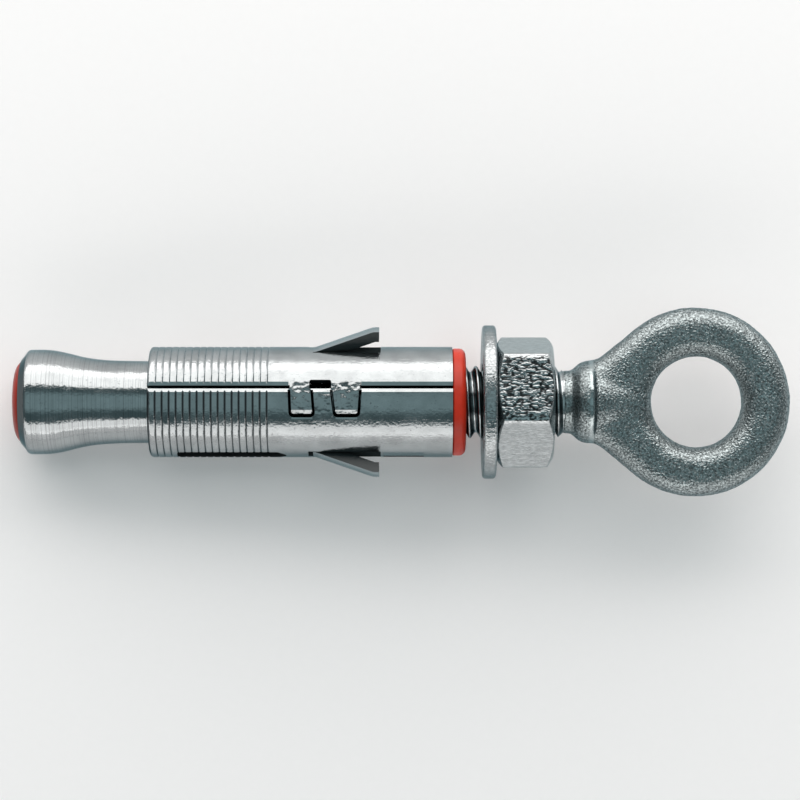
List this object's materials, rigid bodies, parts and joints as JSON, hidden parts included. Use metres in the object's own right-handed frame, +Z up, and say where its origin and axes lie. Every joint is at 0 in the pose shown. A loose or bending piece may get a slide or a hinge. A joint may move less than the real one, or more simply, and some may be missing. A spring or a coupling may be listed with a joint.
{
  "type": "eye anchor",
  "caption": "Expansion anchor with a forged eye: an eye bolt with nut and washer runs through a slit steel sleeve with two wings into a cone nut closed by a plastic plug.",
  "frame": {"origin": "centre of the bounding box's base: the anchor lies on the rims of its washer and its cone", "axes": "+X along the anchor towards the eye, +Y across it, +Z up; the anchor's axis rises 3 degrees towards the eye"},
  "size_m": [0.1042, 0.0254, 0.0207],
  "materials": {
    "plug_plastic": "soft satin red",
    "cone_steel": "turned and zinc plated, with fine turning lines",
    "sleeve_steel": "rolled sheet, zinc plated, bright",
    "collar_plastic": "soft satin red",
    "washer_steel": "stamped and zinc plated",
    "nut_steel": "zinc plated, with fine scratches",
    "bolt_steel": "forged and zinc plated, dull and grainy, thread bright"
  },
  "bodies": {
    "sleeve": {"expansion_sleeve": "sleeve_steel", "collar_ring": "collar_plastic"},
    "cone": {"cone_nut": "cone_steel", "end_plug": "plug_plastic"},
    "bolt": {"eye_bolt": "bolt_steel"},
    "washer": {"washer": "washer_steel"},
    "nut": {"hex_nut": "nut_steel"}
  },
  "joints": [
    {"name": "bolt_draw", "type": "slide", "parent": "sleeve", "child": "cone", "axis": [0.9985, 0, 0.0539], "range_m": [0, 0.008]},
    {"name": "bolt_turn", "type": "hinge", "parent": "cone", "child": "bolt", "pos_m": [0.00662, 0, 0.01007], "axis": [0.9985, 0, 0.0539], "range_deg": [-180, 180]},
    {"name": "nut_travel", "type": "slide", "parent": "bolt", "child": "washer", "axis": [0.9985, 0, 0.0539], "range_m": [-0.00205, 0.0006]},
    {"name": "nut_turn", "type": "hinge", "parent": "washer", "child": "nut", "pos_m": [0.0166, 0, 0.01061], "axis": [0.9985, 0, 0.0539], "range_deg": [-492, 150]}
  ],
  "couplings": [
    {"joint": "nut_turn", "follows": "nut_travel", "rad_per_m": 4188.8}
  ]
}
